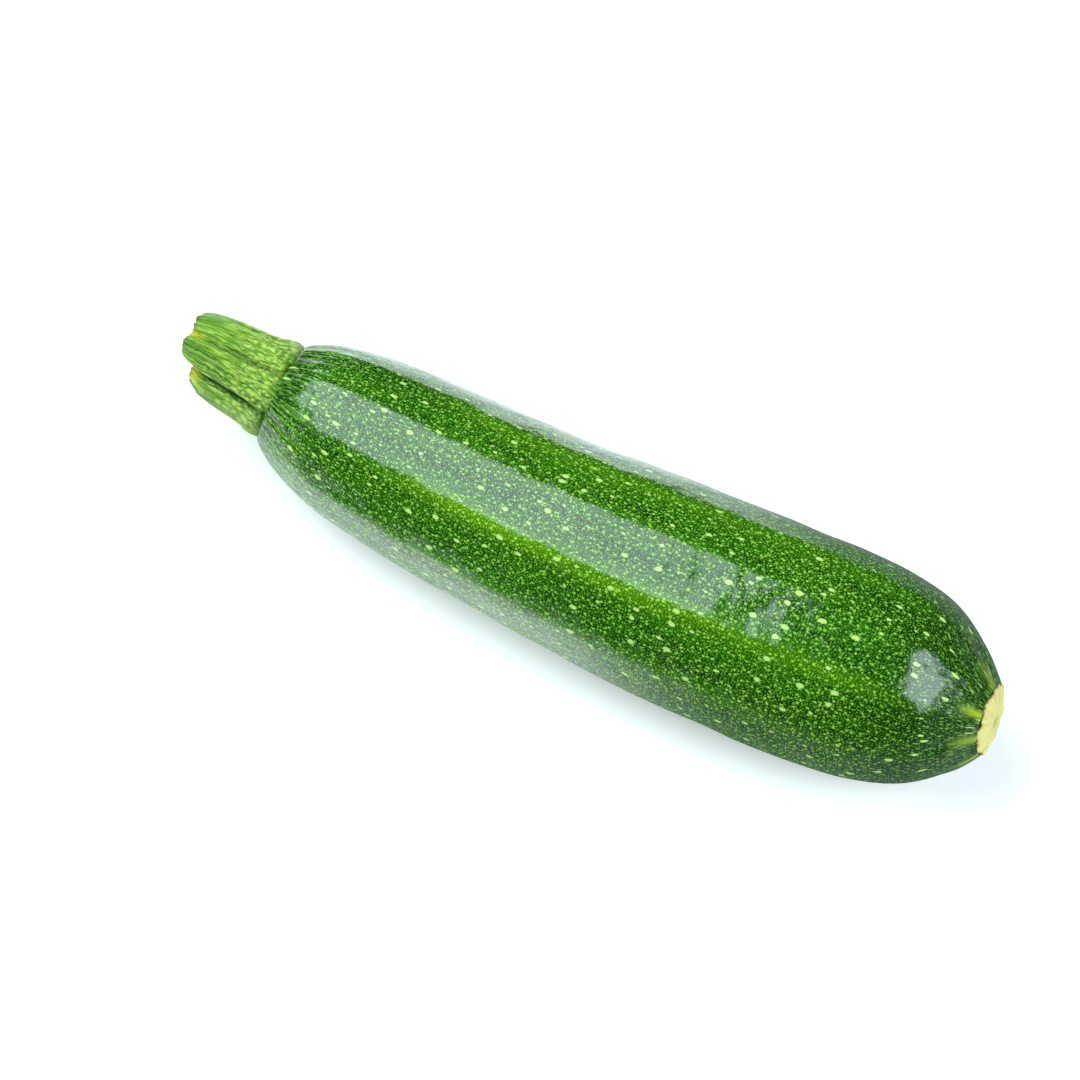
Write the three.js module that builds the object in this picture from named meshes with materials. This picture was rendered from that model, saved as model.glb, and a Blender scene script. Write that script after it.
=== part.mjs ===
// A freshly picked courgette: the fruit, its cut stem and the corky scar that the blossom left.
// Millimetres, +Z up. It lies along X on the plane Z = 0, stem end towards -X and blossom end towards +X.
// The origin is the middle of its bounding box, on the plane that it rests on.
import * as THREE from "three";

// Driving dimensions.
const FRUIT_LENGTH = 180; // along X, from the stem's collar to the blossom scar
const BELLY_RADIUS = 25.3; // at the thickest, two thirds of the way to the blossom end
const STEM_LENGTH = 24; // from the collar to the cut
const COLLAR_RADIUS = 11.7; // the stem's flared foot
const SCAR_RADIUS = 7.9;
const SCAR_DOME = 1.5; // how far the scar's middle stands proud of its rim
const SCAR_SEAT_DEPTH = 1.2; // the scar is set this far into the fruit
const SEAT_GAP = 0.3; // clearance between the pieces

// How finely each piece is faceted.
const FRUIT_SEGMENTS = 60;
const FRUIT_RINGS = 42;
const STEM_SEGMENTS = 72;
const STEM_RINGS = 14;
const SCAR_SEGMENTS = 40;

// The spine bows sideways, and its height follows the fruit's thickness, so that the underside is nearly straight.
const SPINE_BOW = 6.0; // sideways pull on the middle; the spine follows three quarters of it
const SPINE_NECK_HEIGHT = 19.5;
const SPINE_WAIST_HEIGHT = 19.8;
const SPINE_BELLY_HEIGHT = 26.9;
const SPINE_BLOSSOM_HEIGHT = 24.8;
const spine = new THREE.CubicBezierCurve3(
  new THREE.Vector3(0, 0, SPINE_NECK_HEIGHT),
  new THREE.Vector3(FRUIT_LENGTH / 3, -SPINE_BOW, SPINE_WAIST_HEIGHT),
  new THREE.Vector3((2 * FRUIT_LENGTH) / 3, -SPINE_BOW, SPINE_BELLY_HEIGHT),
  new THREE.Vector3(FRUIT_LENGTH, 0, SPINE_BLOSSOM_HEIGHT),
);

// The two ends do not quite face along the spine: the stem turns up a little, and so does the blossom scar.
const COLLAR_FACING = new THREE.Vector3(0.985, 0.01, -0.15).normalize();
const SCAR_FACING = new THREE.Vector3(0.975, 0.08, 0.17).normalize();
const END_TURN = 0.12; // share of the length over which the sections turn to match

// The fruit's half outline, as [share of the length, share of the belly radius].
const FRUIT_OUTLINE = [
  [0.0, 0.482],
  [0.018, 0.562],
  [0.05, 0.665],
  [0.12, 0.785],
  [0.22, 0.845],
  [0.36, 0.895],
  [0.52, 0.965],
  [0.67, 1.0],
  [0.8, 0.99],
  [0.88, 0.92],
  [0.93, 0.785],
  [0.97, 0.56],
  [0.994, 0.35],
];

// Ten blunt ridges run the length of the fruit, at these angles round the spine. Zero points to the side, +Y,
// and 90 points up. The facet between 254 and 288 is the one underneath.
const RIDGE_ANGLES = [22, 56, 87, 119, 160, 196, 226, 254, 288, 326];
const RIDGE_SHARPNESS = 0.4; // 0 is round, 1 is a polygon with flat facets

// Grooves between the stem's five ribs, as [angle, depth as a share of the radius].
const STEM_GROOVES = [
  [6, 0.18],
  [95, 0.13],
  [148, 0.22],
  [212, 0.17],
  [287, 0.19],
];
const GROOVE_HALF_WIDTH = 23; // degrees

// The stem was cut and then torn: beyond this angle the ribs end short.
const TORN_FROM = 128;
const TORN_TO = 330;
const TORN_SHORT = 4.4;

const { degToRad, radToDeg, smoothstep, euclideanModulo, lerp, clamp } = THREE.MathUtils;

/** The spine's middle and the two directions across it, at a distance along it. Past its ends it runs straight. */
function sectionAt(distance) {
  const share = clamp(distance / FRUIT_LENGTH, 0, 1);
  const along = spine
    .getTangent(share)
    .lerp(COLLAR_FACING, 1 - smoothstep(share, 0, END_TURN))
    .lerp(SCAR_FACING, smoothstep(share, 1 - END_TURN, 1))
    .normalize();
  const middle = spine.getPoint(share).addScaledVector(along, distance - share * FRUIT_LENGTH);
  const side = new THREE.Vector3(0, 0, 1).cross(along).normalize();
  const up = along.clone().cross(side);
  return { middle, side, up };
}

/**
 * Revolves an outline of [radius, distance along the spine] points and lays the solid on the spine.
 * swell(angle, distance) scales a point's radius and slide(angle, distance) moves it along the spine.
 */
function layOnSpine(outline, segments, swell, slide = () => 0) {
  const geometry = new THREE.LatheGeometry(outline, segments);
  const position = geometry.getAttribute("position");
  for (let i = 0; i < position.count; i++) {
    const across = position.getZ(i);
    const upward = position.getX(i);
    const distance = position.getY(i);
    const angle = euclideanModulo(radToDeg(Math.atan2(upward, across)), 360);
    const scale = swell(angle, distance);
    const offCentre = Math.min(Math.hypot(across, upward), 1);
    const { middle, side, up } = sectionAt(distance + offCentre * slide(angle, distance));
    middle.addScaledVector(side, across * scale).addScaledVector(up, upward * scale);
    position.setXYZ(i, middle.x, middle.y, middle.z);
  }
  geometry.computeVertexNormals();
  return geometry;
}

/** A named mesh with a plain finish of its own. */
function piece(name, geometry, color, roughness) {
  const finish = new THREE.MeshStandardMaterial({ color, roughness, metalness: 0 });
  const mesh = new THREE.Mesh(geometry, finish);
  mesh.name = name;
  return mesh;
}

/** The fruit's radius at an angle, as a share: 1 on a ridge and a little less on the facets between. */
function ridgeShare(angle) {
  const next = RIDGE_ANGLES.find((ridge) => ridge > angle) ?? RIDGE_ANGLES[0] + 360;
  const before = RIDGE_ANGLES.findLast((ridge) => ridge <= angle) ?? RIDGE_ANGLES.at(-1) - 360;
  const halfFacet = degToRad((next - before) / 2);
  const offMiddle = degToRad(angle - (next + before) / 2);
  const facet = Math.cos(halfFacet) / Math.cos(offMiddle);
  return 1 - RIDGE_SHARPNESS * (1 - facet);
}

function fruitPiece() {
  const flank = new THREE.SplineCurve(
    FRUIT_OUTLINE.map(
      ([length, radius]) => new THREE.Vector2(radius * BELLY_RADIUS, length * FRUIT_LENGTH),
    ),
  );
  const seat = FRUIT_LENGTH - SCAR_SEAT_DEPTH;
  const outline = [
    new THREE.Vector2(0, 0),
    ...flank.getPoints(FRUIT_RINGS),
    new THREE.Vector2(SCAR_RADIUS + SEAT_GAP, seat),
    new THREE.Vector2(0, seat),
  ];
  // The ridges die away at the blossom scar.
  const swell = (angle, distance) =>
    lerp(ridgeShare(angle), 1, smoothstep(distance, 0.97 * FRUIT_LENGTH, seat));
  const geometry = layOnSpine(outline, FRUIT_SEGMENTS, swell);
  // The underside is pressed flat where it lies on the surface.
  const position = geometry.getAttribute("position");
  for (let i = 0; i < position.count; i++) {
    position.setZ(i, Math.max(position.getZ(i), 0));
  }
  return piece("fruit", geometry, 0x3f7a1c, 0.38);
}

/** How much of the stem's radius the grooves take away at an angle. */
function grooveShare(angle) {
  let share = 0;
  for (const [middle, depth] of STEM_GROOVES) {
    const off = Math.abs(euclideanModulo(angle - middle + 180, 360) - 180);
    share = Math.max(share, depth * (1 - smoothstep(off, 0, GROOVE_HALF_WIDTH)));
  }
  return share;
}

/** How far short of the stem's full length the cut is, at an angle. */
function cutShort(angle) {
  const torn = smoothstep(angle, TORN_FROM, TORN_FROM + 30) - smoothstep(angle, TORN_TO, 360);
  return TORN_SHORT * torn + 4 * grooveShare(angle);
}

function stemPiece() {
  const flank = new THREE.SplineCurve([
    new THREE.Vector2(0.67 * COLLAR_RADIUS, -STEM_LENGTH),
    new THREE.Vector2(0.79 * COLLAR_RADIUS, -0.86 * STEM_LENGTH),
    new THREE.Vector2(0.88 * COLLAR_RADIUS, -0.55 * STEM_LENGTH),
    new THREE.Vector2(0.94 * COLLAR_RADIUS, -0.27 * STEM_LENGTH),
    new THREE.Vector2(COLLAR_RADIUS, -0.08 * STEM_LENGTH),
    new THREE.Vector2(0.96 * COLLAR_RADIUS, -SEAT_GAP),
  ]);
  const cutDip = 1.5; // the cut face is a little hollow
  const outline = [
    new THREE.Vector2(0, cutDip - STEM_LENGTH),
    ...flank.getPoints(STEM_RINGS),
    new THREE.Vector2(0, -SEAT_GAP),
  ];
  // The grooves run out at the collar, and the cut end is ragged.
  const swell = (angle, distance) =>
    1 - grooveShare(angle) * (1 - 0.75 * smoothstep(distance, -0.3 * STEM_LENGTH, 0));
  const slide = (angle, distance) =>
    cutShort(angle) * (1 - smoothstep(distance, -STEM_LENGTH, -0.6 * STEM_LENGTH));
  const geometry = layOnSpine(outline, STEM_SEGMENTS, swell, slide);
  return piece("stem", geometry, 0x75a03a, 0.6);
}

function blossomScarPiece() {
  const back = FRUIT_LENGTH - SCAR_SEAT_DEPTH + SEAT_GAP;
  const outline = [
    new THREE.Vector2(0, back),
    new THREE.Vector2(0.95 * SCAR_RADIUS, back),
    new THREE.Vector2(0.97 * SCAR_RADIUS, FRUIT_LENGTH - 0.3),
    new THREE.Vector2(0.78 * SCAR_RADIUS, FRUIT_LENGTH + 0.5 * SCAR_DOME),
    new THREE.Vector2(0.45 * SCAR_RADIUS, FRUIT_LENGTH + 0.9 * SCAR_DOME),
    new THREE.Vector2(0.16 * SCAR_RADIUS, FRUIT_LENGTH + SCAR_DOME),
    new THREE.Vector2(0, FRUIT_LENGTH + 0.7 * SCAR_DOME),
  ];
  // Five blunt corners, where the blossom's sepals stood.
  const swell = (angle) => 1 + 0.03 * Math.cos(degToRad(5 * (angle - 20)));
  const geometry = layOnSpine(outline, SCAR_SEGMENTS, swell);
  return piece("blossom_scar", geometry, 0xcdbf85, 0.85);
}

const courgette = new THREE.Group();
courgette.add(fruitPiece(), stemPiece(), blossomScarPiece());

const middle = new THREE.Box3().setFromObject(courgette).getCenter(new THREE.Vector3());
courgette.position.set(-middle.x, -middle.y, 0);

export default courgette;
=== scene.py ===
"""A courgette on a white studio table: the speckled fruit, its ribbed stem and its blossom scar."""

import logging
import math
from dataclasses import dataclass, field
from enum import Enum

import bpy
import numpy as np
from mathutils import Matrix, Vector


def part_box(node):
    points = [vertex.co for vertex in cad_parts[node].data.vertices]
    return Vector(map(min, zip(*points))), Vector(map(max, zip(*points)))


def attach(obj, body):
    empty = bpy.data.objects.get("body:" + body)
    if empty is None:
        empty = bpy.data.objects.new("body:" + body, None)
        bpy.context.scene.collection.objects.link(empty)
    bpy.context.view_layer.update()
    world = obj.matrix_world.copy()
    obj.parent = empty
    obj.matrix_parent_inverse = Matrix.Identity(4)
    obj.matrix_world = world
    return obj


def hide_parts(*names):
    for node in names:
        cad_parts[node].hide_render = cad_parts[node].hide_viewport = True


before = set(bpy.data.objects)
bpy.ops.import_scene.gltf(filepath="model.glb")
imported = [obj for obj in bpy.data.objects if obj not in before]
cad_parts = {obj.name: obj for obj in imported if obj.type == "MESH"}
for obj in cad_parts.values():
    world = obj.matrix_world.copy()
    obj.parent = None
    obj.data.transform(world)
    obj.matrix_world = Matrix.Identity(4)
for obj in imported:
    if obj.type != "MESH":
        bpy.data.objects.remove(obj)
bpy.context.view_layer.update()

MM = 0.001  # the sizes below are in millimetres, and meshes are in metres
CHART_CUT = 270.0  # the angle, straight down, at which the unrolled skins are cut open
LOG = logging.getLogger("courgette")

Solid = bpy.types.Object
Tree = bpy.types.NodeTree
Socket = bpy.types.NodeSocket
Settings = dict[str | int, object]  # by property, or by an input socket's name or number
Links = dict[str | int, Socket]
Array = np.ndarray
Pair = tuple[float, float]
Span = tuple[float, float]  # where something starts and where it ends
Triple = tuple[float, float, float]
Waves = tuple[tuple[int, float, float], ...]  # how many round the circle, height, starting angle
Node = bpy.types.Node


class Body(Enum):
    """The rigid bodies of the part. It has no joints, so there is one."""

    ROOT = "root"


class Slot(Enum):
    """The record's material slots."""

    FRUIT = "fruit_rind"
    STEM = "stem_rind"
    SCAR = "scar_cork"


def linear(code: str) -> tuple[float, float, float, float]:
    """Turns an sRGB hex colour into linear light.

    Args:
        code: six hex digits, such as "3f7a1c".

    Returns:
        Red, green, blue and an alpha of one.
    """
    parts = [int(code[i : i + 2], 16) / 255 for i in (0, 2, 4)]
    red, green, blue = (
        part / 12.92 if part <= 0.04045 else ((part + 0.055) / 1.055) ** 2.4 for part in parts
    )
    return red, green, blue, 1.0


def smooth(value: Array, low: float, high: float) -> Array:
    """Rises smoothly from 0, where the value is low, to 1, where it is high."""
    share = np.clip((value - low) / (high - low), 0.0, 1.0)
    return share * share * (3.0 - 2.0 * share)


def turn_between(angle: Array, middle: float) -> Array:
    """The signed turns from one angle to others, the short way round, in degrees."""
    return (angle - middle + 180.0) % 360.0 - 180.0


def flow(points: list[Pair], steps: int) -> Array:
    """Draws a smooth line through points.

    Args:
        points: the points that it passes through.
        steps: how many stretches to divide the whole line into.

    Returns:
        An array of steps + 1 points.
    """
    knots = np.array(points, float)
    place = np.linspace(0.0, len(knots) - 1.0, steps + 1)
    first = np.minimum(place.astype(int), len(knots) - 2)
    share = (place - first)[:, None]
    before = knots[np.maximum(first - 1, 0)]
    start, end = knots[first], knots[first + 1]
    after = knots[np.minimum(first + 2, len(knots) - 1)]
    leave, arrive = (end - before) / 2, (after - start) / 2
    return (
        (2 * start - 2 * end + leave + arrive) * share**3
        + (-3 * start + 3 * end - 2 * leave - arrive) * share**2
        + leave * share
        + start
    )


def ripple(angle: Array, waves: Waves) -> Array:
    """A wavy line that closes on itself round a circle.

    Args:
        angle: angles in degrees.
        waves: (how many round the circle, height, starting angle in degrees) for each wave.

    Returns:
        The sum of the waves at each angle.
    """
    total = np.zeros_like(angle)
    for count, height, start in waves:
        total += height * np.sin(np.radians(count * (angle - start)))
    return total


def peaks(angle: Array, rows: tuple[Triple, ...]) -> Array:
    """Bell-shaped peaks at some angles round a circle.

    Args:
        angle: angles in degrees.
        rows: (angle, width in degrees, height) of each peak.

    Returns:
        The height of the tallest peak at each angle.
    """
    total = np.zeros_like(angle)
    for middle, width, height in rows:
        off = turn_between(angle, middle) / width
        total = np.maximum(total, height * np.exp(-off * off))
    return total


@dataclass(frozen=True)
class Spine:
    """The curved middle line that every piece is laid along, in millimetres."""

    length: float = 180.0
    bow: float = 6.0
    heights: tuple[float, float, float, float] = (19.5, 19.8, 26.9, 24.8)
    collar_facing: Triple = (0.985, 0.01, -0.15)
    scar_facing: Triple = (0.975, 0.08, 0.17)
    end_turn: float = 0.12

    def lay(self, straight: Array) -> Array:
        """Lays points that were modelled along a straight X axis on the spine.

        Args:
            straight: points as (distance along, sideways, upwards).

        Returns:
            The points on the curved spine, which starts over the origin.
        """
        distance = straight[:, 0]
        share = np.clip(distance / self.length, 0.0, 1.0)[:, None]
        knots = np.array(
            [
                (0.0, 0.0, self.heights[0]),
                (self.length / 3, -self.bow, self.heights[1]),
                (2 * self.length / 3, -self.bow, self.heights[2]),
                (self.length, 0.0, self.heights[3]),
            ]
        )
        rest = 1.0 - share
        middle = (
            rest**3 * knots[0]
            + 3 * rest**2 * share * knots[1]
            + 3 * rest * share**2 * knots[2]
            + share**3 * knots[3]
        )
        along = (
            rest**2 * (knots[1] - knots[0])
            + 2 * rest * share * (knots[2] - knots[1])
            + share**2 * (knots[3] - knots[2])
        )
        along /= np.linalg.norm(along, axis=1, keepdims=True)
        for facing, weight in (
            (self.collar_facing, 1.0 - smooth(share, 0.0, self.end_turn)),
            (self.scar_facing, smooth(share, 1.0 - self.end_turn, 1.0)),
        ):
            goal = np.array(facing) / np.linalg.norm(facing)
            along = along * (1.0 - weight) + goal * weight
        along /= np.linalg.norm(along, axis=1, keepdims=True)
        side = np.cross((0.0, 0.0, 1.0), along)
        side /= np.linalg.norm(side, axis=1, keepdims=True)
        up = np.cross(along, side)
        past = (distance - share[:, 0] * self.length)[:, None]
        return middle + past * along + straight[:, 1:2] * side + straight[:, 2:3] * up


def draw_out(name: str, rings: Array, segments: int) -> Solid:
    """Draws a closed round solid out along X: a disc, then one extrusion and one resize for each ring.

    Args:
        name: the object's name.
        rings: (distance along, radius) of each ring, in millimetres.
        segments: how many sides each ring has.

    Returns:
        The new object, in object mode, with its modelling turned into its mesh.
    """
    bpy.ops.object.select_all(action="DESELECT")
    bpy.ops.mesh.primitive_circle_add(
        vertices=segments,
        radius=rings[0][1] * MM,
        fill_type="NGON",
        location=(rings[0][0] * MM, 0.0, 0.0),
        rotation=(0.0, math.pi / 2, 0.0),
    )
    solid = bpy.context.object
    solid.name = solid.data.name = name
    bpy.ops.object.mode_set(mode="EDIT")
    bpy.ops.mesh.select_all(action="SELECT")
    for (distance, radius), (next_distance, next_radius) in zip(rings, rings[1:]):
        bpy.ops.mesh.extrude_region_move(
            TRANSFORM_OT_translate={"value": ((next_distance - distance) * MM, 0.0, 0.0)}
        )
        bpy.ops.transform.resize(
            value=(1.0, next_radius / radius, next_radius / radius),
            center_override=(next_distance * MM, 0.0, 0.0),
        )
    bpy.ops.mesh.select_all(action="SELECT")
    bpy.ops.mesh.normals_make_consistent(inside=False)
    bpy.ops.object.mode_set(mode="OBJECT")
    bpy.ops.object.transform_apply(location=True, rotation=True, scale=True)
    return solid


def pick(solid: Solid) -> None:
    """Selects one object alone and makes it active."""
    bpy.ops.object.select_all(action="DESELECT")
    solid.select_set(True)
    bpy.context.view_layer.objects.active = solid


def points_of(solid: Solid) -> Array:
    """Reads a mesh's points, in metres."""
    points = np.empty(len(solid.data.vertices) * 3)
    solid.data.vertices.foreach_get("co", points)
    return points.reshape(-1, 3)


def refine(solid: Solid, levels: int) -> None:
    """Rounds and divides a mesh with a subdivision surface, which is applied.

    Args:
        solid: the mesh object.
        levels: how many times it divides.
    """
    modifier = solid.modifiers.new("rounding", "SUBSURF")
    modifier.levels = modifier.render_levels = levels
    bpy.context.view_layer.objects.active = solid
    bpy.ops.object.modifier_apply(modifier=modifier.name)


@dataclass
class Skin:
    """The points of a mesh that was drawn out along X, as distance, angle and radius about that axis."""

    solid: Solid
    distance: Array = field(init=False)
    angle: Array = field(init=False)
    radius: Array = field(init=False)

    def __post_init__(self) -> None:
        """Reads the mesh's points, in millimetres and degrees."""
        points = points_of(self.solid) / MM
        self.distance = points[:, 0]
        self.radius = np.hypot(points[:, 1], points[:, 2])
        self.angle = np.degrees(np.arctan2(points[:, 2], points[:, 1])) % 360.0

    def straight(self) -> Array:
        """The points as (distance along, sideways, upwards), in millimetres."""
        turn = np.radians(self.angle)
        return np.stack(
            [self.distance, self.radius * np.cos(turn), self.radius * np.sin(turn)], axis=1
        )

    def note_place(self, name: str, girth: float) -> None:
        """Stores each point's place on the skin, for the finish to draw its pattern by.

        The place is (distance along, girth * cos, girth * sin), so a pattern has no seam, and it draws
        together where the piece narrows.

        Args:
            name: the attribute's name.
            girth: the radius at which the pattern has its true size, in millimetres.
        """
        turn = np.radians(self.angle)
        place = np.stack([self.distance, girth * np.cos(turn), girth * np.sin(turn)], axis=1)
        layer = self.solid.data.attributes.new(name, "FLOAT_VECTOR", "POINT")
        layer.data.foreach_set("vector", place.astype(np.float32).ravel())

    def note_chart(self, name: str, girth: float, along: Array) -> None:
        """Unrolls the skin into a flat chart, a UV map in millimetres, to scatter flecks on.

        The chart is (distance along, girth * angle). It is cut open underneath.

        Args:
            name: the UV map's name.
            girth: the radius at which the pattern has its true size, in millimetres.
            along: the distances to draw by.
        """
        mesh = self.solid.data
        corners = np.empty(len(mesh.loops), np.int32)
        mesh.loops.foreach_get("vertex_index", corners)
        turned = ((self.angle - CHART_CUT) % 360.0)[corners].reshape(-1, 4)
        wraps = np.ptp(turned, axis=1, keepdims=True) > 180.0
        turned = np.where(wraps & (turned < 180.0), turned + 360.0, turned)
        chart = np.stack([along[corners], girth * np.radians(turned.ravel())], axis=1)
        layer = mesh.uv_layers.new(name=name)
        layer.data.foreach_set("uv", chart.astype(np.float32).ravel())

    def note_zones(self, name: str, zones: tuple[Array, ...]) -> None:
        """Stores four graded zones, each from 0 to 1, for the finish to colour by.

        Args:
            name: the attribute's name.
            zones: four arrays, one value for each point.
        """
        layer = self.solid.data.attributes.new(name, "FLOAT_COLOR", "POINT")
        values = np.clip(np.stack(zones, axis=1), 0.0, 1.0)
        layer.data.foreach_set("color", values.astype(np.float32).ravel())

    def settle(self, points: Array) -> None:
        """Moves the mesh's points to their final place, in millimetres, and shades it smooth."""
        self.solid.data.vertices.foreach_set("co", (points * MM).astype(np.float32).ravel())
        self.solid.data.update()
        pick(self.solid)
        bpy.ops.object.shade_smooth()


def add(
    tree: Tree,
    kind: str,
    settings: Settings | None = None,
    links: Links | None = None,
) -> Node:
    """Adds a node with its settings and links.

    Args:
        tree: the node tree to add it to.
        kind: the node's type.
        settings: values for its properties or, by name or number, its input sockets.
        links: for each input socket, by name or number, the output that feeds it.

    Returns:
        The new node.
    """
    made = tree.nodes.new(kind)
    for key, value in (settings or {}).items():
        if isinstance(key, str) and hasattr(made, key):
            setattr(made, key, value)
        else:
            made.inputs[key].default_value = value
    for key, source in (links or {}).items():
        tree.links.new(source, made.inputs[key])
    return made


def new_material(name: str) -> tuple[bpy.types.Material, Tree]:
    """An empty node material and its tree."""
    material = bpy.data.materials.new(name)
    material.use_nodes = True
    material.node_tree.nodes.clear()
    return material, material.node_tree


def mixed(tree: Tree, amount: Socket, base: Socket | str, top: Socket | str) -> Socket:
    """Lays one colour over another.

    Args:
        tree: the node tree.
        amount: how much of the top colour shows.
        base: the colour underneath, as a socket or an sRGB hex code.
        top: the colour laid over it, as a socket or an sRGB hex code.

    Returns:
        The mixed colour.
    """
    settings: Settings = {"data_type": "RGBA"}
    links: Links = {0: amount}
    for place, colour in ((6, base), (7, top)):
        if isinstance(colour, str):
            settings[place] = linear(colour)
        else:
            links[place] = colour
    return add(tree, "ShaderNodeMix", settings, links).outputs[2]


def graded(
    tree: Tree, value: Socket, low: float, high: float, to_low: float = 0.0, to_high: float = 1.0
) -> Socket:
    """Grades a value smoothly from to_low at low to to_high at high, which may run downwards."""
    settings = {
        "interpolation_type": "SMOOTHSTEP",
        "From Min": low,
        "From Max": high,
        "To Min": to_low,
        "To Max": to_high,
    }
    return add(tree, "ShaderNodeMapRange", settings, {"Value": value}).outputs[0]


def worked(tree: Tree, operation: str, first: Socket, second: Socket | float) -> Socket:
    """Works out one number from two.

    Args:
        tree: the node tree.
        operation: the math node's operation.
        first: the first value.
        second: the second value, as a socket or a constant.

    Returns:
        The result.
    """
    settings: Settings = {"operation": operation}
    links: Links = {0: first}
    if isinstance(second, float):
        settings[1] = second
    else:
        links[1] = second
    return add(tree, "ShaderNodeMath", settings, links).outputs[0]


def stretched(tree: Tree, place: Socket, by: Triple) -> Socket:
    """Scales a place along each axis."""
    settings = {"operation": "MULTIPLY", 1: by}
    return add(tree, "ShaderNodeVectorMath", settings, {0: place}).outputs[0]


def shaken(tree: Tree, place: Socket, by: Socket, amount: float) -> Socket:
    """Shifts a place by a noise colour, so that a pattern drawn on it gets ragged edges.

    Args:
        tree: the node tree.
        place: the place to shift.
        by: a colour around mid-grey.
        amount: the shift for a full colour step, in millimetres.

    Returns:
        The shifted place.
    """
    centring = {"operation": "SUBTRACT", 1: (0.5, 0.5, 0.5)}
    centred = add(tree, "ShaderNodeVectorMath", centring, {0: by}).outputs[0]
    shifting = {"operation": "MULTIPLY_ADD", 1: (amount,) * 3}
    return add(tree, "ShaderNodeVectorMath", shifting, {0: centred, 2: place}).outputs[0]


def noise(
    tree: Tree, place: Socket, scale: float = 1.0, detail: float = 2.0, roughness: float = 0.5
) -> Node:
    """Adds a cloudy pattern, with so many clouds to a millimetre, and returns its node."""
    settings = {"Scale": scale, "Detail": detail, "Roughness": roughness}
    return add(tree, "ShaderNodeTexNoise", settings, {"Vector": place})


def scattered(
    tree: Tree, chart: Socket, spacing: float, squeeze: float, randomness: float = 1.0
) -> Node:
    """Scatters cells over an unrolled skin.

    Args:
        tree: the node tree.
        chart: the place on the unrolled skin.
        spacing: how far apart the cells are, in millimetres.
        squeeze: the scale along the skin, which draws the cells out.
        randomness: from 0, in rows, to 1, irregular.

    Returns:
        The Voronoi node. Its "Distance" is a share of the spacing, and each cell has its own "Color".
    """
    settings = {"voronoi_dimensions": "2D", "Scale": 1.0 / spacing, "Randomness": randomness}
    place = stretched(tree, chart, (squeeze, 1.0, 1.0))
    return add(tree, "ShaderNodeTexVoronoi", settings, {"Vector": place})


def split(tree: Tree, source: Node) -> tuple[Socket, Socket, Socket]:
    """Splits a node's colour into its three numbers."""
    parts = add(tree, "ShaderNodeSeparateColor", links={"Color": source.outputs["Color"]})
    return parts.outputs[0], parts.outputs[1], parts.outputs[2]


def attribute(tree: Tree, name: str) -> Node:
    """Reads an attribute of the mesh."""
    return add(tree, "ShaderNodeAttribute", {"attribute_name": name})


def bumped(
    tree: Tree, height: Socket, strength: float, depth: float, under: Socket | None = None
) -> Socket:
    """Turns a height into relief, so many millimetres deep, over other relief if there is any."""
    settings = {"Strength": strength, "Distance": depth * MM}
    links = {"Height": height} if under is None else {"Height": height, "Normal": under}
    return add(tree, "ShaderNodeBump", settings, links).outputs[0]


def surfaced(tree: Tree, settings: Settings, links: Links) -> None:
    """Ends a material in one Principled shader, with what is constant and what differs by place."""
    surface = add(tree, "ShaderNodeBsdfPrincipled", settings, links)
    add(tree, "ShaderNodeOutputMaterial", links={"Surface": surface.outputs[0]})


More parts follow.
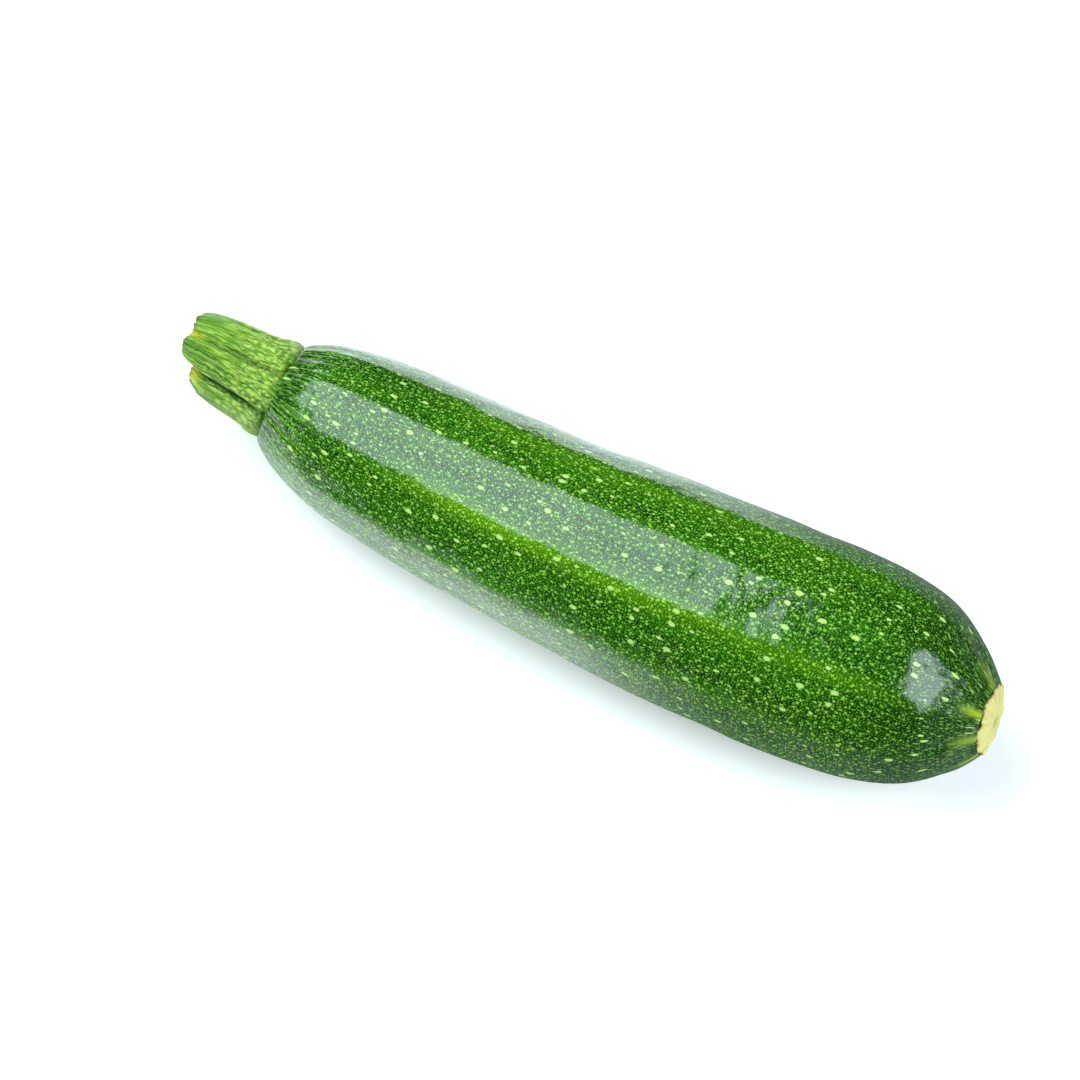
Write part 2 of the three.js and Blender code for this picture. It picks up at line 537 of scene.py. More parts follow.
@dataclass(frozen=True)
class CourgetteRind:
    """Living courgette rind under its natural wax.

    The skin is deep green, with pale flecks under a millimetre apart all over it, so that only a fine
    dark net shows between them. The wax gives a satin gloss, which the flecks break up.
    """

    net: str = "062c00"
    flesh: str = "246000"
    ridge: str = "4a8000"
    fleck: str = "7eb944"
    ridge_fleck: str = "aad242"
    spot: str = "bcdc78"
    # This green is painted shade: the shade zone lays it over the rind at the blossom shoulder, by the
    # collar and along a line by the neck, and the flecks there are dimmed.
    painted_shade_green: str = "062c00"
    gold: str = "a3bd20"
    fleck_spacing: float = 0.5
    dot_spacing: float = 1.5
    spot_spacing: float = 4.4
    fleck_sizes: Pair = (0.28, 0.48)  # the smallest and largest, as shares of their spacing
    spot_sizes: Pair = (0.05, 0.15)
    raggedness: float = 0.4
    shaded_flecks: float = 0.55  # how much of the flecks is left where the rind is darkest
    vein_strength: float = 0.4
    roughness: float = 0.18
    ior: float = 1.5

    def make(self) -> bpy.types.Material:
        """Builds the material.

        Returns:
            The rind, which reads the attributes rind_place and rind_zones and the UV map rind_chart.
        """
        material, tree = new_material("waxy courgette rind")
        place = attribute(tree, "rind_place").outputs["Vector"]
        chart = add(tree, "ShaderNodeUVMap", {"uv_map": "rind_chart"}).outputs[0]
        zones = attribute(tree, "rind_zones")
        ridge, shade, neck = split(tree, zones)
        blossom = zones.outputs["Alpha"]
        tremble = noise(tree, place, 1.4, 1.0)
        ragged = shaken(tree, chart, tremble.outputs["Color"], self.raggedness)

        ground, pale = self.greens(tree, place, tremble.outputs[0], ridge)
        # Painted shade: the rind is darkened at the blossom shoulder, by the collar and along a line by
        # the neck.
        ground = mixed(tree, shade, ground, self.painted_shade_green)
        flecks, shape = self.flecks(tree, ragged)
        lit = graded(tree, shade, 0.0, 1.0, 1.0, self.shaded_flecks)
        colour = mixed(tree, worked(tree, "MULTIPLY", flecks, lit), ground, pale)
        colour = mixed(tree, self.spots(tree, ragged), colour, self.spot)

        # Fine veins run out from the stem, and golden rays run out from the blossom scar.
        veins = noise(tree, stretched(tree, ragged, (0.07, 1.1, 1.0)), 1.0, 3.0, 0.55)
        vein = worked(tree, "MULTIPLY", graded(tree, veins.outputs[0], 0.5, 0.62), neck)
        colour = mixed(tree, worked(tree, "MULTIPLY", vein, self.vein_strength), colour, self.fleck)
        colour = mixed(tree, blossom, colour, self.gold)

        links = {"Base Color": colour, "Normal": self.relief(tree, place, shape)}
        surfaced(tree, {"Roughness": self.roughness, "IOR": self.ior}, links)
        return material

    def flecks(self, tree: Tree, chart: Socket) -> tuple[Socket, Socket]:
        """Draws the flecks, each with its own size and paleness, and the small bright dots among them.

        Args:
            tree: the node tree.
            chart: the place on the unrolled skin.

        Returns:
            How much of each place is fleck or dot, and the flecks' shape alone.
        """
        cells = scattered(tree, chart, self.fleck_spacing, 0.8, 0.85)
        size_mood, pale_mood, _ = split(tree, cells)
        size = graded(tree, size_mood, 0.0, 1.0, *self.fleck_sizes)
        margin = worked(tree, "SUBTRACT", size, cells.outputs["Distance"])
        shape = graded(tree, margin, 0.0, 0.34)
        flecks = worked(tree, "MULTIPLY", shape, graded(tree, pale_mood, 0.2, 1.0, 0.5, 1.0))
        dot_cells = scattered(tree, chart, self.dot_spacing, 0.75)
        dots = graded(tree, dot_cells.outputs["Distance"], 0.24, 0.06)
        return worked(tree, "MAXIMUM", flecks, dots), shape

    def spots(self, tree: Tree, chart: Socket) -> Socket:
        """Draws the larger pale spots here and there. Some are barely larger than a fleck.

        Args:
            tree: the node tree.
            chart: the place on the unrolled skin.

        Returns:
            How much of each place is spot.
        """
        cells = scattered(tree, chart, self.spot_spacing, 0.6)
        mood, _, _ = split(tree, cells)
        size = graded(tree, mood, 0.1, 1.0, *self.spot_sizes)
        margin = worked(tree, "SUBTRACT", size, cells.outputs["Distance"])
        return graded(tree, margin, 0.0, 0.06, 0.0, 0.85)

    def greens(
        self,
        tree: Tree,
        place: Socket,
        tremble: Socket,
        ridge: Socket,
    ) -> tuple[Socket, Socket]:
        """Varies the greens: long streaks, a fine mottling, soft blotches, and golden ridges.

        Args:
            tree: the node tree.
            place: the place on the skin.
            tremble: a fine noise, for the mottling.
            ridge: how golden each place may be.

        Returns:
            The ground colour and the flecks' colour.
        """
        streaks = noise(tree, stretched(tree, place, (0.035, 0.42, 0.42)), 1.0, 4.0, 0.6).outputs[0]
        streak = graded(tree, streaks, 0.3, 0.7)
        blotches = noise(tree, stretched(tree, place, (0.05, 0.12, 0.12)), 1.0, 3.0, 0.55)
        blotch = graded(tree, blotches.outputs[0], 0.35, 0.65)
        golden = worked(tree, "MULTIPLY", ridge, graded(tree, streaks, 0.3, 0.55, 0.45))
        mottle = graded(tree, tremble, 0.42, 0.62)
        depth = worked(
            tree, "ADD", worked(tree, "MULTIPLY", mottle, 0.5), worked(tree, "MULTIPLY", streak, 0.5)
        )
        ground = mixed(tree, depth, self.net, self.flesh)
        ground = mixed(tree, golden, ground, self.ridge)
        bright = worked(tree, "MAXIMUM", golden, worked(tree, "MULTIPLY", blotch, 0.35))
        return ground, mixed(tree, bright, self.fleck, self.ridge_fleck)

    def relief(self, tree: Tree, place: Socket, shape: Socket) -> Socket:
        """Makes the relief: flecks that stand up a little on a finely pitted, gently uneven skin.

        Args:
            tree: the node tree.
            place: the place on the skin.
            shape: the flecks' shape.

        Returns:
            The normal.
        """
        pits = noise(tree, place, 2.2, 3.0)
        swells = noise(tree, place, 0.13, 2.0)
        pitted = bumped(tree, pits.outputs[0], 0.4, 0.05)
        flecked = bumped(tree, shape, 0.3, 0.02, pitted)
        return bumped(tree, swells.outputs[0], 0.9, 0.8, flecked)


@dataclass(frozen=True)
class StemRind:
    """The green peduncle: fibrous, blistered near the collar, with torn yellow flesh at the cut.

    The blisters are pale with darker green between them, and palest at the stem's foot. They are drawn
    out into fibres towards the cut, and fine creases of painted shade run between the fibres.
    """

    green: str = "508a08"
    pale: str = "aad03c"
    fibre: str = "c0da60"
    # This green is painted shade, laid in the grooves between the ribs and along the fine creases.
    groove: str = "1a4a02"
    collar: str = "4c9206"
    flesh: str = "ccc42a"
    bruise: str = "6b5a12"
    blister_spacing: float = 0.85
    raggedness: float = 1.2
    fibre_strength: float = 0.5
    crease_strength: float = 0.75
    crease_width: Span = (0.022, 0.006)  # steps of noise off its middle
    foot: Span = (-15.0, -5.0)  # where it pales, in millimetres from the collar
    foot_strength: float = 0.55
    roughness: float = 0.32
    ior: float = 1.45

    def make(self) -> bpy.types.Material:
        """Builds the material.

        Returns:
            The rind, which reads the attributes stem_place and stem_zones and the UV map stem_chart.
        """
        material, tree = new_material("fibrous courgette stem")
        place = attribute(tree, "stem_place").outputs["Vector"]
        chart = add(tree, "ShaderNodeUVMap", {"uv_map": "stem_chart"}).outputs[0]
        zones = attribute(tree, "stem_zones")
        groove, tip, collar = split(tree, zones)
        tremble = noise(tree, place, 0.5, 2.0)
        ragged = shaken(tree, chart, tremble.outputs["Color"], self.raggedness)

        # Pale blisters, each with its own paleness, and fibres over them.
        cells = scattered(tree, ragged, self.blister_spacing, 0.75)
        mood, _, _ = split(tree, cells)
        blister = graded(tree, cells.outputs["Distance"], 0.62, 0.2)
        mottled = worked(tree, "MULTIPLY", blister, graded(tree, mood, 0.1, 0.9, 0.1, 0.75))
        ground = mixed(tree, mottled, self.green, self.pale)
        fibres = noise(tree, stretched(tree, ragged, (0.2, 2.0, 1.0)), 1.0, 5.0, 0.65).outputs[0]
        fibre = worked(tree, "MULTIPLY", graded(tree, fibres, 0.42, 0.66), self.fibre_strength)
        ground = mixed(tree, fibre, ground, self.fibre)

        # A crease runs wherever a stretched noise crosses its middle value, and painted shade darkens
        # it.
        creases = noise(tree, stretched(tree, ragged, (0.05, 0.6, 1.0)), 1.0, 2.0, 0.5)
        off_crease = worked(tree, "ABSOLUTE", worked(tree, "SUBTRACT", creases.outputs[0], 0.5), 0.0)
        crease = graded(tree, off_crease, *self.crease_width)
        darkened = worked(tree, "MULTIPLY", crease, self.crease_strength)
        ground = mixed(tree, darkened, ground, self.groove)

        # The blisters are palest at the stem's foot, just short of the darker collar.
        reach = add(tree, "ShaderNodeSeparateXYZ", links={0: place}).outputs["X"]
        foot = worked(tree, "MULTIPLY", graded(tree, reach, *self.foot), blister)
        ground = mixed(tree, worked(tree, "MULTIPLY", foot, self.foot_strength), ground, self.fibre)
        ground = mixed(tree, collar, ground, self.collar)
        # Painted shade in the grooves between the ribs, less of it near the collar.
        ground = mixed(tree, groove, ground, self.groove)
        ground = mixed(tree, tip, ground, self.flesh)
        ground = mixed(tree, zones.outputs["Alpha"], ground, self.bruise)

        heights = worked(tree, "ADD", fibres, worked(tree, "MULTIPLY", blister, 0.5))
        heights = worked(tree, "SUBTRACT", heights, worked(tree, "MULTIPLY", crease, 0.5))
        links = {"Base Color": ground, "Normal": bumped(tree, heights, 0.9, 0.6)}
        surfaced(tree, {"Roughness": self.roughness, "IOR": self.ior}, links)
        return material


@dataclass(frozen=True)
class ScarCork:
    """Dry wound cork over the blossom scar: pale tan, dull and finely wrinkled, with a brown edge."""

    tan: str = "ccc27c"
    ochre: str = "b0a04e"
    brown: str = "6e5220"
    roughness: float = 0.75
    ior: float = 1.4

    def make(self) -> bpy.types.Material:
        """Builds the material.

        Returns:
            The cork, which reads the attributes scar_place and scar_zones.
        """
        material, tree = new_material("dry blossom scar cork")
        place = attribute(tree, "scar_place").outputs["Vector"]
        rim, ring, dimple = split(tree, attribute(tree, "scar_zones"))
        grain = noise(tree, place, 0.9, 6.0, 0.7).outputs[0]
        ground = mixed(tree, graded(tree, grain, 0.4, 0.75), self.tan, self.ochre)
        worn = worked(tree, "MULTIPLY", rim, graded(tree, grain, 0.35, 0.6))
        ground = mixed(tree, worn, ground, self.brown)
        ground = mixed(tree, ring, ground, self.brown)
        ground = mixed(tree, dimple, ground, self.ochre)
        links = {"Base Color": ground, "Normal": bumped(tree, grain, 0.8, 0.4)}
        surfaced(tree, {"Roughness": self.roughness, "IOR": self.ior}, links)
        return material


@dataclass(frozen=True)
class WhiteTable:
    """A matt white acrylic table that gives off a little light of its own.

    It glows most behind the courgette and in front of it, where the waxy flanks mirror it as bright
    strips. In reflections, and only there, it is darkened beyond its middle and towards the blossom end,
    so that the flanks keep their green. That is a lighting device, which no real table has.

    Distances are in metres. Each edge is the place with none of its effect, then the place with all.
    """

    white: str = "f4f4f4"
    mirrored_grey: str = "606060"
    roughness: float = 0.5
    near_glow: float = 0.27
    back_glow: float = 0.5
    back_edge: Span = (0.06, 0.13)  # along Y
    back_end: Span = (0.06, 0.0)  # along X
    front_glow: float = 0.9
    front_edges: tuple[Span, Span] = ((-0.024, -0.034), (-0.062, -0.052))
    front_ends: tuple[Span, Span] = ((0.07, 0.0), (-0.11, -0.09))
    long_side: Span = (0.2, 0.21)  # along X, either way: the darkening beyond the middle
    short_side: Span = (0.175, 0.185)  # the same along Y
    blossom_side: Span = (-0.02, 0.05)  # along X
    blossom_dimming: float = 0.9

    def make(self) -> bpy.types.Material:
        """Builds the material.

        Returns:
            The table's surface.
        """
        material, tree = new_material("white acrylic table")
        place = add(tree, "ShaderNodeTexCoord")
        axes = add(tree, "ShaderNodeSeparateXYZ", links={0: place.outputs["Object"]})
        along, across = axes.outputs["X"], axes.outputs["Y"]
        dim = self.dimmed(tree, along, across)
        glow = worked(tree, "MULTIPLY", self.glow(tree, along, across), graded(tree, dim, 1.0, 0.0))
        surfaced(
            tree,
            {"Roughness": self.roughness, "Emission Color": linear("ffffff")},
            {
                "Base Color": mixed(tree, dim, self.white, self.mirrored_grey),
                "Emission Strength": glow,
            },
        )
        return material

    def glow(self, tree: Tree, along: Socket, across: Socket) -> Socket:
        """Works out how strongly the table glows.

        Args:
            tree: the node tree.
            along: the place along X.
            across: the place along Y.

        Returns:
            The strength of the glow.
        """
        near_edge, far_edge = self.front_edges
        blossom_end, stem_end = self.front_ends
        back = graded(tree, across, *self.back_edge, 0.0, self.back_glow)
        back = worked(tree, "MULTIPLY", back, graded(tree, along, *self.back_end))
        front = graded(tree, across, *near_edge, 0.0, self.front_glow)
        front = worked(tree, "MULTIPLY", front, graded(tree, across, *far_edge))
        front = worked(tree, "MULTIPLY", front, graded(tree, along, *blossom_end))
        front = worked(tree, "MULTIPLY", front, graded(tree, along, *stem_end))
        return worked(tree, "ADD", worked(tree, "ADD", back, front), self.near_glow)

    def dimmed(self, tree: Tree, along: Socket, across: Socket) -> Socket:
        """Works out how much each place is darkened. It is nothing except to a reflection.

        Args:
            tree: the node tree.
            along: the place along X.
            across: the place along Y.

        Returns:
            The share that is missing.
        """
        beyond = worked(
            tree,
            "MAXIMUM",
            graded(tree, worked(tree, "ABSOLUTE", along, 0.0), *self.long_side),
            graded(tree, worked(tree, "ABSOLUTE", across, 0.0), *self.short_side),
        )
        blossom_side = graded(tree, along, *self.blossom_side, 0.0, self.blossom_dimming)
        dim = worked(tree, "MAXIMUM", beyond, blossom_side)
        mirrored = add(tree, "ShaderNodeLightPath").outputs["Is Glossy Ray"]
        return worked(tree, "MULTIPLY", mirrored, dim)


@dataclass
class Piece:
    """One piece of the courgette: its mesh stands for one CAD node and wears one finish."""

    node: str
    slot: Slot

    def fit(self, solid: Solid, finish: bpy.types.Material) -> None:
        """Dresses the finished mesh and puts it in the frame.

        Args:
            solid: the piece, in its final place.
            finish: its material.
        """
        solid.data.materials.append(finish)
        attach(solid, Body.ROOT.value)
        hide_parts(self.node)
        LOG.info("%s: %d faces", solid.name, len(solid.data.polygons))


@dataclass
class Fruit(Piece):
    """The fruit: a long ridged body, slim at the neck and full towards the blossom end."""

    node: str = "fruit"
    slot: Slot = Slot.FRUIT
    belly_radius: float = 25.3
    seat_radius: float = 7.9
    seat_depth: float = 1.2
    lip: float = 0.35  # how far short of the end the seat's rounded lip lies
    segments: int = 48
    rings: int = 36
    outline: tuple[Pair, ...] = (
        (0.0, 0.44), (0.005, 0.5), (0.018, 0.557), (0.05, 0.665), (0.12, 0.785), (0.22, 0.845),
        (0.36, 0.895), (0.52, 0.965), (0.67, 1.0), (0.8, 0.99), (0.88, 0.92), (0.93, 0.785),
        (0.97, 0.56), (0.99, 0.402), (0.9975, 0.33),
    )
    ridges: tuple[float, ...] = (22, 56, 87, 119, 160, 196, 226, 254, 288, 326)
    ridge_sharpness: float = 0.4
    golden_ridges: tuple[Triple, ...] = (
        (121, 6.0, 1.0), (62, 8.0, 0.4), (88, 4.0, 0.2), (160, 6.0, 0.25), (200, 7.0, 0.7),
        (250, 7.0, 0.6), (290, 8.0, 0.8), (328, 7.0, 0.7), (22, 7.0, 0.5),
    )
    blossom_rays: tuple[Triple, ...] = (
        (56, 8.0, 0.35), (112, 5.0, 0.8), (150, 6.0, 0.5), (196, 6.0, 0.6), (254, 6.0, 0.6),
        (326, 6.0, 0.6),
    )
    neck_wrinkles: Waves = (
        (19, 0.009, 12.0), (31, 0.006, 3.0), (43, 0.004, 27.0),
    )
    blossom_wrinkles: Waves = ((5, 0.02, 2.0), (17, 0.008, 9.0))
    swellings: tuple[tuple[float, int, float, float], ...] = (
        (47.0, 2, 0.004, 0.4), (29.0, -3, 0.003, 2.1), (19.0, 5, 0.002, 4.0),
        (13.0, -7, 0.0014, 1.2),
    )
    swellings_start: Span = (10.0, 40.0)
    swellings_stop: Span = (150.0, 172.0)
    # The zones below run between two shares of the length.
    golden_start: Span = (0.12, 0.32)
    golden_fade: Span = (0.5, 0.8)
    golden_lost: float = 0.6
    # Painted shade: a dark line by the neck, the blossom shoulder and the collar.
    painted_shade_line: tuple[Triple, ...] = ((123.0, 3.5, 0.9),)
    painted_shade_line_stop: Span = (0.04, 0.15)
    blossom_shade: Span = (0.8, 0.95)
    collar_shade: Span = (0.005, 0.06)
    veins_stop: Span = (0.02, 0.13)
    rays_start: Span = (0.965, 0.995)
    ridges_stop: Span = (0.97, 0.993)
    neck_wrinkles_stop: Span = (0.01, 0.12)
    blossom_wrinkles_start: Span = (0.93, 0.98)
    # How far the pattern is drawn out at each end, and over how far, in millimetres.
    stem_drawing: Pair = (9.0, 12.0)
    blossom_drawing: Pair = (5.0, 10.0)
    pattern_girth: float = 0.94  # the share of the belly's radius at which the pattern has its true size

    def ridge_share(self, angle: Array) -> Array:
        """The radius at each angle, as a share: 1 on a ridge and a little less on the facets between.

        Args:
            angle: angles in degrees.

        Returns:
            The share of the radius.
        """
        ends = np.array((self.ridges[-1] - 360.0, *self.ridges, self.ridges[0] + 360.0))
        after = np.clip(np.searchsorted(ends, angle, side="right"), 1, len(ends) - 1)
        before = after - 1
        half = np.radians((ends[after] - ends[before]) / 2)
        off = np.radians(angle - (ends[after] + ends[before]) / 2)
        return 1.0 - self.ridge_sharpness * (1.0 - np.cos(half) / np.cos(off))

    def lumps(self, skin: Skin) -> Array:
        """Gentle unevenness of a grown fruit, as shares of the radius."""
        turn = np.radians(skin.angle)
        total = np.zeros_like(turn)
        for wavelength, count, height, start in self.swellings:
            phase = 2.0 * math.pi * skin.distance / wavelength + count * turn + start
            total += height * np.sin(phase)
        total *= smooth(skin.distance, *self.swellings_start)
        return total * (1.0 - smooth(skin.distance, *self.swellings_stop))

    def zones(self, skin: Skin, length: float) -> tuple[Array, ...]:
        """Grades the skin for colouring.

        Args:
            skin: the fruit's points.
            length: the fruit's length, in millimetres.

        Returns:
            Golden ridge, painted shade, veined neck and green-gold blossom rim, each from 0 to 1.
        """
        share = skin.distance / length
        ridge = peaks(skin.angle, self.golden_ridges) * smooth(share, *self.golden_start)
        ridge *= 1.0 - self.golden_lost * smooth(share, *self.golden_fade)
        # Painted shade: a dark line by the neck, the turned-away blossom shoulder and the collar.
        line = peaks(skin.angle, self.painted_shade_line) * (1.0 - smooth(share, *self.painted_shade_line_stop))
        shade = np.maximum(line, 0.85 * smooth(share, *self.blossom_shade))
        shade = np.maximum(shade, 0.8 * (1.0 - smooth(share, *self.collar_shade)))
        neck = 1.0 - smooth(share, *self.veins_stop)
        rim = peaks(skin.angle, self.blossom_rays) * smooth(share, *self.rays_start)
        return ridge, shade, neck, rim

    def drawn_out(self, distance: Array, length: float) -> Array:
        """Draws the pattern out towards both ends, where the flecks turn into dashes.

        Args:
            distance: distances along the fruit, in millimetres.
            length: the fruit's length, in millimetres.

        Returns:
            The distances to draw the pattern by.
        """
        stem_shift, stem_reach = self.stem_drawing
        blossom_shift, blossom_reach = self.blossom_drawing
        drawn = distance - stem_shift * (1.0 - np.exp(-distance / stem_reach))
        return drawn - blossom_shift * np.exp(-(length - distance) / blossom_reach)

    def build(self, spine: Spine) -> Solid:
        """Models the fruit along X and lays it on the spine, with its underside pressed flat.

        Args:
            spine: the line to lay it on.

        Returns:
            The fruit, at the spine's own place.
        """
        flank = flow(list(self.outline), self.rings) * (spine.length, self.belly_radius)
        seat = spine.length - self.seat_depth
        end = [
            (spine.length - self.lip, self.seat_radius),
            (seat, 0.97 * self.seat_radius),
            (seat, 0.5 * self.seat_radius),
        ]
        solid = draw_out("courgette_fruit", np.vstack([flank, end]), self.segments)
        refine(solid, 2)
        skin = Skin(solid)
        share = skin.distance / spine.length
        ending = smooth(share, *self.ridges_stop)
        at_neck = 1.0 - smooth(share, *self.neck_wrinkles_stop)
        at_blossom = smooth(share, *self.blossom_wrinkles_start)
        swell = self.ridge_share(skin.angle) * (1.0 - ending) + ending
        swell += ripple(skin.angle, self.neck_wrinkles) * at_neck
        swell += ripple(skin.angle, self.blossom_wrinkles) * at_blossom * (1.0 - ending)
        swell += self.lumps(skin)
        skin.radius *= swell
        girth = self.pattern_girth * self.belly_radius
        skin.note_place("rind_place", girth)
        skin.note_chart("rind_chart", girth, self.drawn_out(skin.distance, spine.length))
        skin.note_zones("rind_zones", self.zones(skin, spine.length))
        points = spine.lay(skin.straight())
        points[:, 2] = np.maximum(points[:, 2], 0.0)
        skin.settle(points)
        return solid


@dataclass
class Stem(Piece):
    """The stem: five ribs with deep grooves between, a flared collar and a cut that tore on one side."""

    node: str = "stem"
    slot: Slot = Slot.STEM
    length: float = 24.0
    collar_radius: float = 11.7
    segments: int = 60
    rings: int = 18
    flank: tuple[Pair, ...] = (
        (0.3, 0.86), (0.35, 0.95), (-0.5, 1.0), (-2.2, 1.01), (-6.5, 0.94), (-13.2, 0.88),
        (-20.6, 0.79), (-24.0, 0.68),
    )
    cut_face: tuple[Pair, ...] = ((-24.3, 0.6), (-23.7, 0.52), (-22.8, 0.34), (-22.4, 0.12))
    grooves: tuple[Triple, ...] = (
        (6, 0.16, 22.0), (44, 0.035, 8.0), (70, 0.03, 7.0), (95, 0.09, 14.0), (114, 0.03, 6.0),
        (130, 0.045, 7.0), (148, 0.18, 9.0), (164, 0.035, 6.0), (180, 0.05, 8.0),
        (212, 0.15, 20.0), (287, 0.17, 22.0),
    )
    torn_from: float = 128.0
    torn_to: float = 330.0
    torn_short: float = 4.4
    knobbles: Waves = ((11, 0.012, 5.0), (23, 0.008, 2.0))
    blister_seed: int = 7
    blister_waves: int = 14
    blister_height: float = 0.14
    blister_drawing: float = 0.02  # how fast a pattern is drawn out, per millimetre from the collar
    fibre_drawing: float = 0.022
    collar_lobes: int = 5
    lobe_angle: float = 119.0  # the middle of one of the collar's lobes
    # The flesh at the cut: where it shows along the stem, in millimetres, and round it, in degrees.
    flesh_reach: Span = (-24.0, -19.0)
    torn_flesh_reach: Span = (-24.0, -17.0)
    torn_flesh_start: Span = (138.0, 150.0)
    torn_flesh_stop: Span = (165.0, 185.0)
    face_radius: Span = (0.5, 0.58)  # shares of the collar's radius
    face_reach: Span = (-18.0, -14.0)
    bruised_edge: Pair = (-24.1, 0.5)

    def drawn_out(self, skin: Skin, rate: float) -> Array:
        """Distances that draw a pattern out more and more towards the cut."""
        return skin.distance * (1.0 - rate * np.minimum(-skin.distance, self.length))

    def blisters(self, skin: Skin) -> Array:
        """Irregular bumps of the rind, in millimetres: drawn out near the cut, rounder at the collar."""
        chance = np.random.default_rng(self.blister_seed)
        total = np.zeros_like(skin.angle)
        drawn = self.drawn_out(skin, self.blister_drawing)
        for _ in range(self.blister_waves):
            count = int(chance.integers(9, 34))
            along = chance.normal(0.0, 0.16)
            start = chance.uniform(0.0, 2.0 * math.pi)
            total += np.sin(count * np.radians(skin.angle) + 2.0 * math.pi * along * drawn + start)
        return self.blister_height * total / math.sqrt(self.blister_waves)

    def groove_share(self, angle: Array) -> Array:
        """How much of the radius the grooves take away at each angle, as a share."""
        share = np.zeros_like(angle)
        for middle, depth, width in self.grooves:
            off = np.abs(turn_between(angle, middle))
            valley = depth * (1.0 - smooth(off, 0.0, width))
            crease = 0.35 * depth * np.exp(-((off / 3.0) ** 2))
            share = np.maximum(share, valley + crease)
        return share

    def cut_short(self, angle: Array) -> Array:
        """How far short of the full length the cut is at each angle, in millimetres."""
        torn = smooth(angle, self.torn_from, self.torn_from + 30.0)
        torn -= smooth(angle, self.torn_to, 360.0)
        ragged = ripple(angle, ((7, 0.25, 20.0), (19, 0.18, 5.0), (41, 0.1, 1.0)))
        return self.torn_short * torn + 4.0 * self.groove_share(angle) + ragged

    def zones(self, skin: Skin, groove: Array, towards_collar: Array) -> tuple[Array, ...]:
        """Grades the skin for colouring, before the grooves are cut.

        Args:
            skin: the stem's points.
            groove: how much of the radius the grooves take away.
            towards_collar: from 0 at the shaft to 1 at the collar.

        Returns:
            Painted shade in the grooves, yellow flesh, green collar and bruised edge, each from 0 to 1.
        """
        flesh = smooth(groove, 0.05, 0.1) * (1.0 - smooth(skin.distance, *self.flesh_reach))
        torn = smooth(skin.angle, *self.torn_flesh_start)
        torn *= 1.0 - smooth(skin.angle, *self.torn_flesh_stop)
        torn *= 1.0 - smooth(skin.distance, *self.torn_flesh_reach)
        face = 1.0 - smooth(skin.radius / self.collar_radius, *self.face_radius)
        face *= 1.0 - smooth(skin.distance, *self.face_reach)
        place, width = self.bruised_edge
        edge = np.exp(-(((skin.distance - place) / width) ** 2))
        return (
            # Painted shade in the grooves, deepest where they are deepest.
            smooth(groove, 0.03, 0.2) * (1.0 - 0.5 * towards_collar),
            np.maximum(np.maximum(flesh, 0.7 * torn), face),
            0.5 * smooth(skin.distance, -1.6, -0.4),
            0.85 * edge * (1.0 - smooth(groove, 0.02, 0.08)),
        )

    def build(self, spine: Spine) -> Solid:
        """Models the stem along X, from its collar to its cut, and lays it on the spine.

        Args:
            spine: the line to lay it on.

        Returns:
            The stem, at the spine's own place.
        """
        scale = (1.0, self.collar_radius)
        side = flow(list(self.flank), self.rings) * scale
        face = flow(list(self.cut_face), 4) * scale
        solid = draw_out("courgette_stem", np.vstack([side, face]), self.segments)
        refine(solid, 2)
        skin = Skin(solid)
        groove = self.groove_share(skin.angle)
        towards_collar = smooth(skin.distance, -0.3 * self.length, 0.0)
        swell = 1.0 - groove * (1.0 - 0.75 * towards_collar)
        swell += ripple(skin.angle, self.knobbles) * (1.0 - towards_collar)
        near_cut = 1.0 - smooth(skin.distance, -self.length, -0.6 * self.length)
        outer = smooth(skin.radius, 0.0, 0.4 * self.collar_radius)
        skin.note_place("stem_place", self.collar_radius)
        skin.note_chart("stem_chart", self.collar_radius, self.drawn_out(skin, self.fibre_drawing))
        skin.note_zones("stem_zones", self.zones(skin, groove, towards_collar))
        skin.radius *= swell
        skin.radius += self.blisters(skin) * smooth(skin.radius, 4.0, 7.0)
        skin.distance += self.cut_short(skin.angle) * near_cut * outer
        turn = np.radians(self.collar_lobes * (skin.angle - self.lobe_angle))
        lobes = 0.5 + 0.7 * np.cos(turn)
        skin.distance += lobes * smooth(skin.distance, -3.0, 0.5)
        skin.settle(spine.lay(skin.straight()))
        return solid


@dataclass
class BlossomScar(Piece):
    """The blossom scar: a low dome of cork with a ragged rim and a dimple at its middle."""

    node: str = "blossom_scar"
    slot: Slot = Slot.SCAR
    radius: float = 7.9
    dome: float = 1.0
    segments: int = 45
    rings: int = 16
    ragged: Waves = (
        (5, 0.03, 2.0), (9, 0.015, 13.0), (17, 0.012, 5.0), (29, 0.01, 8.0),
    )
    wrinkles: Waves = ((7, 0.12, 4.0), (13, 0.08, 9.0))

    def build(self, spine: Spine) -> Solid:
        """Models the scar along X and lays it on the spine.

        Args:
            spine: the line to lay it on.

        Returns:
            The scar, at the spine's own place.
        """
        rings = flow(
            [
                (-0.85, 0.9),
                (-0.55, 0.98),
                (-0.3, 1.03),
                (-0.05, 0.99),
                (0.62 * self.dome, 0.76),
                (0.93 * self.dome, 0.45),
                (self.dome, 0.2),
                (0.8 * self.dome, 0.09),
                (0.7 * self.dome, 0.04),
            ],
            self.rings,
        ) * (1.0, self.radius) + (spine.length, 0.0)
        solid = draw_out("courgette_blossom_scar", rings, self.segments)
        refine(solid, 2)
        skin = Skin(solid)
        share = skin.radius / self.radius
        rim = smooth(share, 0.95, 1.01)
        ring = 0.35 * np.exp(-(((share - 0.15) / 0.03) ** 2))
        dimple = 0.6 * (1.0 - smooth(share, 0.08, 0.14))
        skin.note_place("scar_place", self.radius)
        skin.note_zones("scar_zones", (rim, ring, dimple, np.zeros_like(share)))
        skin.radius *= 1.0 + ripple(skin.angle, self.ragged) * smooth(share, 0.6, 1.0)
        skin.distance += ripple(skin.angle, self.wrinkles) * smooth(share, 0.5, 0.95)
        skin.settle(spine.lay(skin.straight()))
        return solid


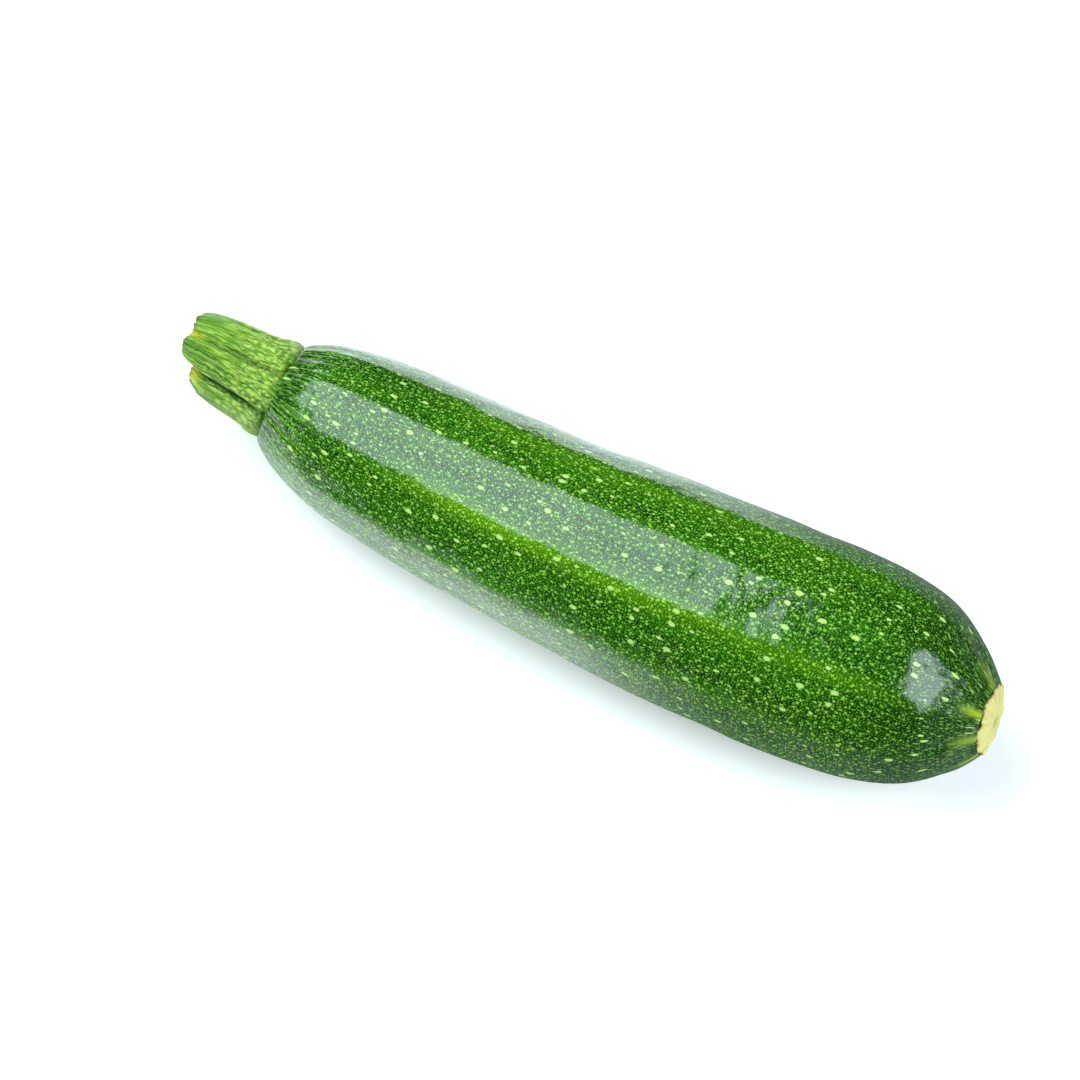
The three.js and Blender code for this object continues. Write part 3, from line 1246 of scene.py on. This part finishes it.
@dataclass(frozen=True)
class Softbox:
    """A rectangular softbox, with its places and sizes in metres.

    Its width lies level, along Y. Its height slopes, in the plane of X and Z.
    """

    name: str
    place: Triple
    towards: Triple
    width: float
    height: float
    radiance: float
    tint: Triple = (0.79, 0.93, 1.0)

    def hang(self) -> None:
        """Adds the light at its place, facing its target."""
        lamp = bpy.data.lights.new(self.name, "AREA")
        lamp.shape = "RECTANGLE"
        lamp.size, lamp.size_y = self.width, self.height
        lamp.energy = self.radiance * math.pi * self.width * self.height
        lamp.color = self.tint
        stand = bpy.data.objects.new(self.name, lamp)
        bpy.context.collection.objects.link(stand)
        stand.location = self.place
        facing = Vector(self.towards) - Vector(self.place)
        stand.rotation_euler = facing.to_track_quat("-Z", "Y").to_euler()


LONG_SOFTBOX = Softbox(
    "long softbox", (-0.429, -0.06, 0.562), (-0.02, -0.06, 0.03), width=0.78, height=0.75, radiance=5.4
)
END_SOFTBOX = Softbox(
    "end softbox", (0.54, 0.02, 0.35), (0.08, 0.0, 0.03), width=0.42, height=0.48, radiance=7.4
)


@dataclass(frozen=True)
class Studio:
    """The table, the lights and the camera. Distances are in metres and angles in degrees."""

    table_size: float = 9.0
    azimuth: float = 27.8
    elevation: float = 65.0
    distance: float = 1.215
    lens: float = 180.0
    sensor: float = 36.0
    aim: Triple = (-0.009, -0.0032, 0.0234)
    sky: float = 0.035

    def lay_table(self) -> None:
        """Lays the white table under the courgette."""
        bpy.ops.object.select_all(action="DESELECT")
        bpy.ops.mesh.primitive_plane_add(size=self.table_size, location=(0.0, 0.0, 0.0))
        table = bpy.context.object
        table.name = "table"
        table.data.materials.append(WhiteTable().make())

    def light(self) -> None:
        """Hangs the two softboxes overhead and sets the room's dim grey."""
        for softbox in (LONG_SOFTBOX, END_SOFTBOX):
            softbox.hang()
        world = bpy.data.worlds.new("studio")
        bpy.context.scene.world = world
        world.use_nodes = True
        tree = world.node_tree
        tree.nodes.clear()
        shine = add(tree, "ShaderNodeBackground", {"Strength": self.sky})
        add(tree, "ShaderNodeOutputWorld", links={"Surface": shine.outputs[0]})

    def set_camera(self) -> None:
        """Sets the camera above the courgette, looking down on it."""
        camera = bpy.data.cameras.new("camera")
        camera.lens = self.lens
        camera.sensor_width = self.sensor
        turn, rise = math.radians(self.azimuth), math.radians(self.elevation)
        back = Vector(
            (math.sin(turn) * math.cos(rise), -math.cos(turn) * math.cos(rise), math.sin(rise))
        )
        holder = bpy.data.objects.new("camera", camera)
        bpy.context.collection.objects.link(holder)
        holder.location = Vector(self.aim) + back * self.distance
        holder.rotation_euler = (-back).to_track_quat("-Z", "Y").to_euler()
        bpy.context.scene.camera = holder


def centre_like_frame(fruit: Solid, others: list[Solid]) -> None:
    """Moves the finished meshes sideways so that the fruit's box lies on its CAD node's box.

    Args:
        fruit: the fruit, at the spine's own place.
        others: the other pieces, which move with it.
    """
    low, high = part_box("fruit")
    points = points_of(fruit)
    middle = (points.min(axis=0) + points.max(axis=0)) / 2
    shift = Vector((low + high) / 2) - Vector(middle)
    for piece in (fruit, *others):
        pick(piece)
        piece.location = (shift.x, shift.y, 0.0)
        bpy.ops.object.transform_apply(location=True, rotation=False, scale=False)


def main() -> None:
    """Builds the courgette and its studio, and logs each piece's face count."""
    logging.basicConfig(level=logging.INFO, format="%(name)s: %(message)s")
    spine = Spine()
    parts = ((Fruit(), CourgetteRind()), (Stem(), StemRind()), (BlossomScar(), ScarCork()))
    solids = [piece.build(spine) for piece, _ in parts]
    centre_like_frame(solids[0], solids[1:])
    for (piece, finish), solid in zip(parts, solids):
        piece.fit(solid, finish.make())
    studio = Studio()
    studio.lay_table()
    studio.light()
    studio.set_camera()
    bpy.context.scene.view_settings.view_transform = "Standard"


if __name__ == "__main__":
    main()
